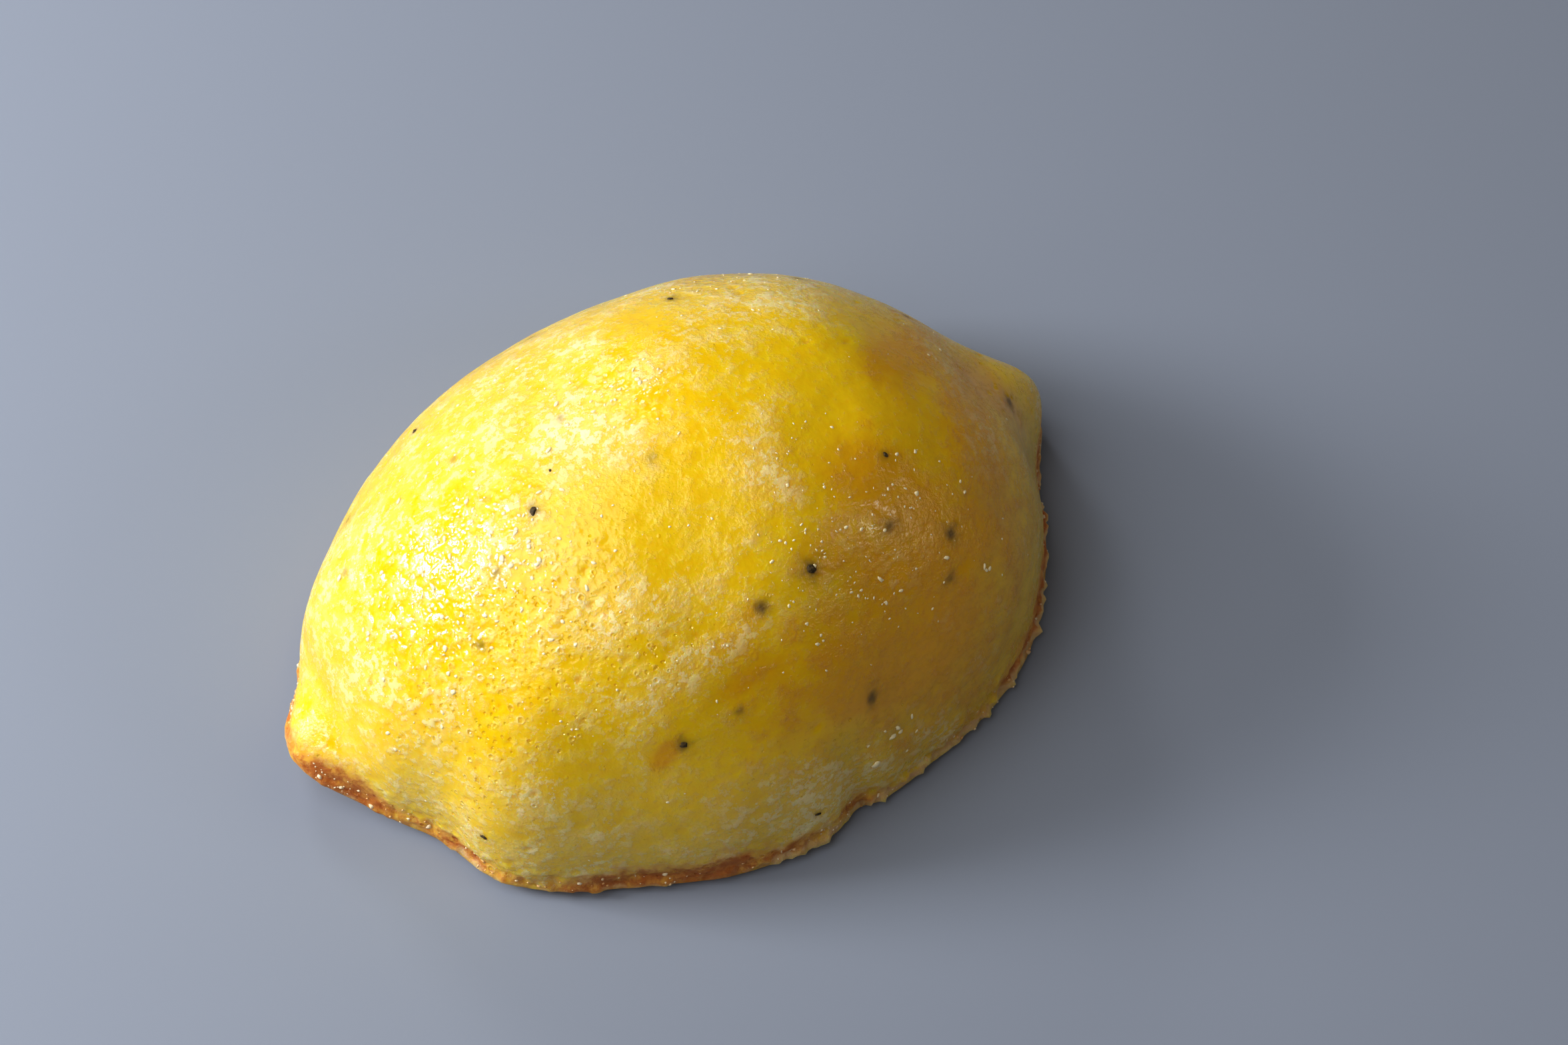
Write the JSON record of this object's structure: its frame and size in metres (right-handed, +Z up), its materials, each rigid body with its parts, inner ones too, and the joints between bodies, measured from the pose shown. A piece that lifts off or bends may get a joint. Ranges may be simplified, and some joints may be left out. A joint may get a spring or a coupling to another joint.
{
  "type": "lemon cake",
  "caption": "Small glazed lemon cake baked in the shape of half a lemon, flat side down, with a blunt tip at each end and a browned crust rim.",
  "frame": {"origin": "on the surface the cake stands on, under the middle of its box", "axes": "+X along the lemon from tip to tip, -Y towards its front side, +Z up"},
  "size_m": [0.0818, 0.0586, 0.0327],
  "materials": {
    "sponge": "moist glazed yellow crumb with a browned rim",
    "seed": "dull dark seed",
    "glaze": "wet clear sugar glaze",
    "crumb": "dry pale crumbs"
  },
  "bodies": {
    "root": {"cake": "sponge"}
  },
  "joints": []
}
